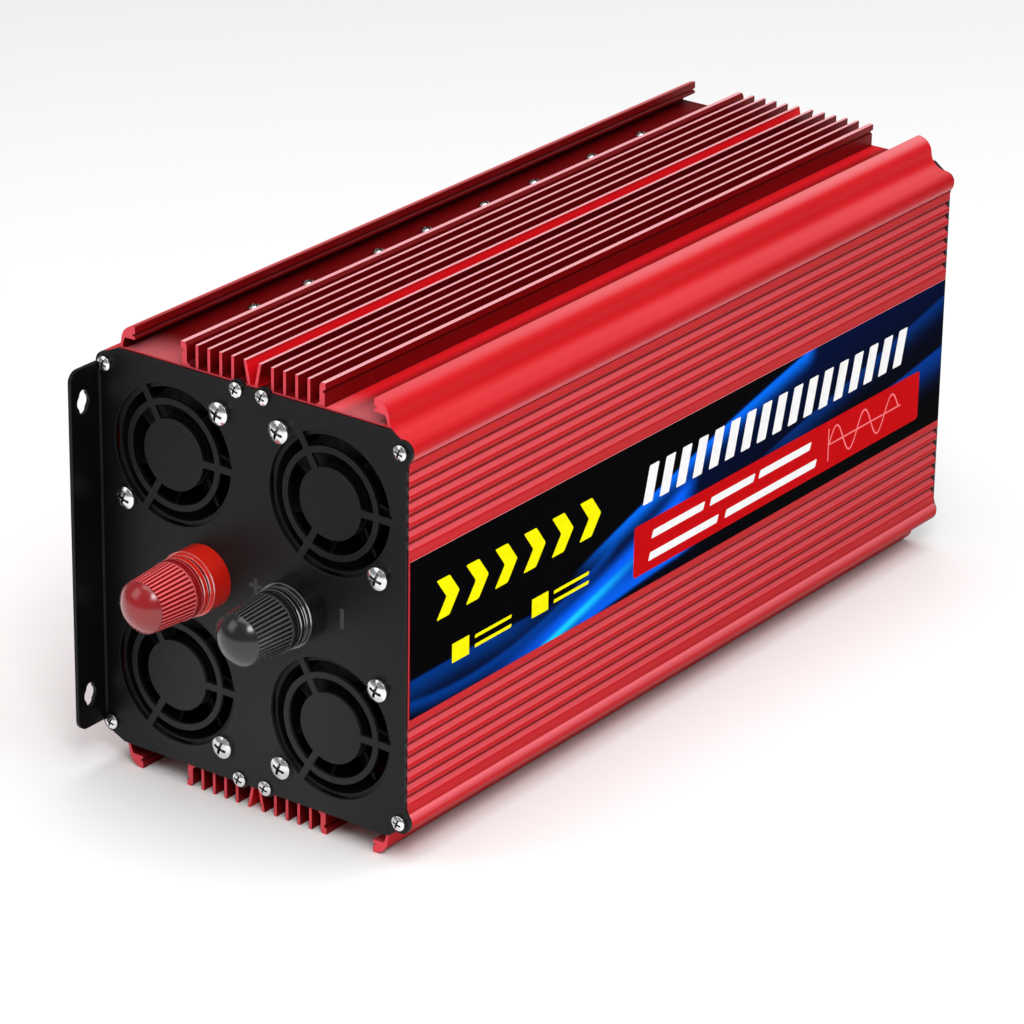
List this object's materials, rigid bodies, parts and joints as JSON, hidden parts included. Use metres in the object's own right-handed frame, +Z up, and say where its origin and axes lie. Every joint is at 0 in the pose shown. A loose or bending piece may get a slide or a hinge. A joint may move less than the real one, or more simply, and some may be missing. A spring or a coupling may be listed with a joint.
{
  "type": "power inverter",
  "caption": "Power inverter in a long finned two-part extruded case, with fan grilles and screw-down DC terminals at one end, mounting flanges, and AC sockets with a rocker switch at the other.",
  "frame": {"origin": "under the middle of the overall box, on the plane that the lower fins stand on", "axes": "-Y towards the terminal and fan end, +X towards the label side, +Z up"},
  "size_m": [0.1624, 0.4682, 0.1994],
  "materials": {
    "red_anodised": "satin",
    "black_sheet": "satin",
    "label_film": "gloss",
    "plated_screw": "polished",
    "zinc_steel": "satin",
    "fan_black": "matte",
    "coil_copper": "satin",
    "red_plastic": "gloss",
    "black_plastic": "gloss",
    "brass": "satin",
    "bus_copper": "satin",
    "green_board": "satin",
    "ferrite": "matte",
    "winding_tape": "satin",
    "can_sleeve": "gloss",
    "black_epoxy": "matte",
    "plain_aluminium": "satin",
    "fuse_orange": "gloss",
    "socket_black": "satin",
    "light_green": "gloss",
    "lead_sleeve": "satin"
  },
  "bodies": {
    "chassis": {"upper_shell": "red_anodised", "lower_shell": "red_anodised", "front_plate": "black_sheet", "rear_plate": "black_sheet", "side_label": "label_film", "end_plate_screws": "plated_screw", "fan_screws": "plated_screw", "fan_nuts": "zinc_steel", "fan_frame_ul": "fan_black", "fan_frame_ur": "fan_black", "fan_frame_ll": "fan_black", "fan_frame_lr": "fan_black", "fan_stators": "coil_copper", "red_base": "red_plastic", "black_base": "black_plastic", "red_stud": "brass", "black_stud": "brass", "terminal_nuts": "zinc_steel", "positive_bus": "bus_copper", "negative_bus": "bus_copper", "lower_board": "green_board", "upper_board": "green_board", "board_spacers": "brass", "board_screws": "zinc_steel", "core_front_lower": "ferrite", "core_rear_lower": "ferrite", "core_front_upper": "ferrite", "core_rear_upper": "ferrite", "winding_front_lower": "winding_tape", "winding_rear_lower": "winding_tape", "winding_front_upper": "winding_tape", "winding_rear_upper": "winding_tape", "input_capacitors": "can_sleeve", "link_capacitors": "can_sleeve", "lower_transistors": "black_epoxy", "upper_transistors": "black_epoxy", "lower_clamp_bar": "plain_aluminium", "upper_clamp_bar": "plain_aluminium", "clamp_screws": "plated_screw", "blade_fuses": "fuse_orange", "output_choke": "coil_copper", "outlet_left": "socket_black", "outlet_right": "socket_black", "outlet_contacts": "brass", "switch_housing": "black_plastic", "status_lights": "light_green", "usb_port": "zinc_steel", "ac_leads": "lead_sleeve"},
    "fan_ul": {"fan_rotor_ul": "fan_black"},
    "fan_ur": {"fan_rotor_ur": "fan_black"},
    "fan_ll": {"fan_rotor_ll": "fan_black"},
    "fan_lr": {"fan_rotor_lr": "fan_black"},
    "red_ring_body": {"red_ring": "red_plastic"},
    "red_knob_body": {"red_knob": "red_plastic", "red_insert": "brass"},
    "black_ring_body": {"black_ring": "black_plastic"},
    "black_knob_body": {"black_knob": "black_plastic", "black_insert": "brass"},
    "rocker": {"switch_rocker": "red_plastic"}
  },
  "joints": [
    {"name": "fan_ul_spin", "type": "hinge", "parent": "chassis", "child": "fan_ul", "pos_m": [-0.0405, -0.1756, 0.1492], "axis": [0, 1, 0], "continuous": true},
    {"name": "fan_ur_spin", "type": "hinge", "parent": "chassis", "child": "fan_ur", "pos_m": [0.0405, -0.1756, 0.1492], "axis": [0, 1, 0], "continuous": true},
    {"name": "fan_ll_spin", "type": "hinge", "parent": "chassis", "child": "fan_ll", "pos_m": [-0.0405, -0.1756, 0.0502], "axis": [0, 1, 0], "continuous": true},
    {"name": "fan_lr_spin", "type": "hinge", "parent": "chassis", "child": "fan_lr", "pos_m": [0.0405, -0.1756, 0.0502], "axis": [0, 1, 0], "continuous": true},
    {"name": "red_terminal_travel", "type": "slide", "parent": "chassis", "child": "red_ring_body", "axis": [0, -1, 0], "range_m": [0, 0.005]},
    {"name": "red_knob_turn", "type": "hinge", "parent": "red_ring_body", "child": "red_knob_body", "pos_m": [-0.025, -0.2086, 0.0997], "axis": [0, -1, 0], "range_deg": [0, 1440]},
    {"name": "black_terminal_travel", "type": "slide", "parent": "chassis", "child": "black_ring_body", "axis": [0, -1, 0], "range_m": [0, 0.005]},
    {"name": "black_knob_turn", "type": "hinge", "parent": "black_ring_body", "child": "black_knob_body", "pos_m": [0.025, -0.2086, 0.0997], "axis": [0, -1, 0], "range_deg": [0, 1440]},
    {"name": "switch_rock", "type": "hinge", "parent": "chassis", "child": "rocker", "pos_m": [0, 0.2141, 0.1127], "axis": [1, 0, 0], "range_deg": [0, 20]}
  ],
  "couplings": [
    {"joint": "red_knob_turn", "follows": "red_terminal_travel", "rad_per_m": 5026.5},
    {"joint": "black_knob_turn", "follows": "black_terminal_travel", "rad_per_m": 5026.5}
  ]
}
